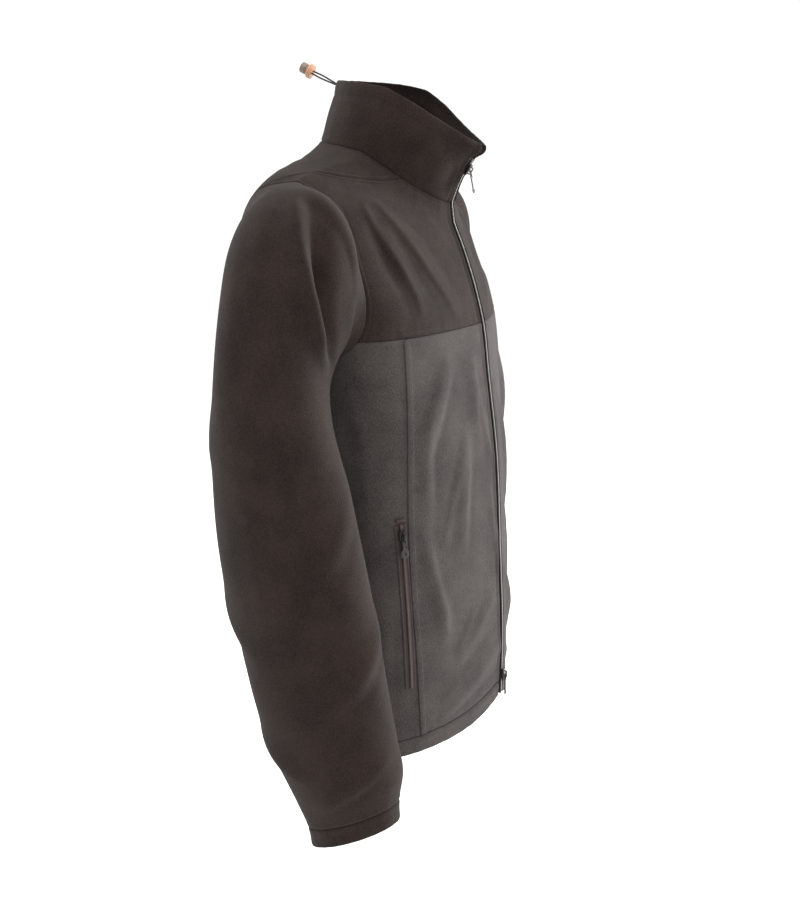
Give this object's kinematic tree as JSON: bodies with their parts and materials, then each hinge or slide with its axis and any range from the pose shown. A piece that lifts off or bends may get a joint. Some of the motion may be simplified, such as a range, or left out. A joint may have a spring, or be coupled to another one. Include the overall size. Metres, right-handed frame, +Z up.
{
  "type": "fleece zip jacket",
  "caption": "Long-sleeved fleece jacket in its worn, hollow shape, with a stand-up collar, a full front zip, zipped side pockets and a drawcord at the back of the collar.",
  "frame": {"origin": "midway between the shoulders at the height of the neck points, where the wearer's neck and shoulders hold the jacket up", "axes": "+Z up, the front faces -Y, +X towards the wearer's left"},
  "size_m": [0.6784, 0.265, 0.8172],
  "materials": {
    "black_fleece": "brushed fleece, warm black",
    "grey_fleece": "brushed fleece, charcoal grey",
    "zip_tape": "woven tape with a moulded chain, dark brown",
    "zip_plastic": "enamelled slider and moulded pull, black",
    "cord": "braided elastic cord, dark grey",
    "toggle_tan": "moulded plastic, tan",
    "toggle_grey": "moulded plastic, warm grey",
    "eyelet_metal": "dark enamelled metal"
  },
  "bodies": {
    "jacket": {"back": "grey_fleece", "collar": "black_fleece", "cord-eyelet": "eyelet_metal", "cord-strand-lower": "cord", "cord-strand-upper": "cord", "cuff-left": "black_fleece", "cuff-right": "black_fleece", "front-left": "grey_fleece", "front-low-slider": "zip_plastic", "front-right": "grey_fleece", "front-top-slider": "zip_plastic", "front-zip": "zip_tape", "hem": "grey_fleece", "pocket-garage-left": "zip_tape", "pocket-garage-right": "zip_tape", "pocket-left-slider": "zip_plastic", "pocket-right-slider": "zip_plastic", "pocket-zip-left": "zip_tape", "pocket-zip-right": "zip_tape", "princess-band-left": "grey_fleece", "princess-band-right": "grey_fleece", "side-left": "grey_fleece", "side-right": "grey_fleece", "sleeve-left": "black_fleece", "sleeve-right": "black_fleece", "toggle-housing": "toggle_grey", "toggle-plunger": "toggle_tan", "yoke-back": "black_fleece", "yoke-front-left": "black_fleece", "yoke-front-right": "black_fleece"},
    "front_top_pull": {"front-top-pull": "zip_plastic"},
    "front_low_pull": {"front-low-pull": "zip_plastic"},
    "pocket_right_pull": {"pocket-right-pull": "zip_plastic"},
    "pocket_left_pull": {"pocket-left-pull": "zip_plastic"}
  },
  "joints": [
    {"name": "front_top_pull_hinge", "type": "hinge", "parent": "jacket", "child": "front_top_pull", "pos_m": [0, -0.093, -0.01719], "axis": [-1, 0, 0], "range_deg": [-40, 109]},
    {"name": "front_low_pull_hinge", "type": "hinge", "parent": "jacket", "child": "front_low_pull", "pos_m": [0, -0.14089, -0.60116], "axis": [-1, 0, 0], "range_deg": [-1, 150]},
    {"name": "pocket_right_pull_hinge", "type": "hinge", "parent": "jacket", "child": "pocket_right_pull", "pos_m": [-0.18246, -0.07696, -0.39696], "axis": [-0.7638, 0.6437, -0.0465], "range_deg": [0, 150]},
    {"name": "pocket_left_pull_hinge", "type": "hinge", "parent": "jacket", "child": "pocket_left_pull", "pos_m": [0.18245, -0.07695, -0.39696], "axis": [-0.7638, -0.6437, 0.0465], "range_deg": [0, 150]}
  ]
}
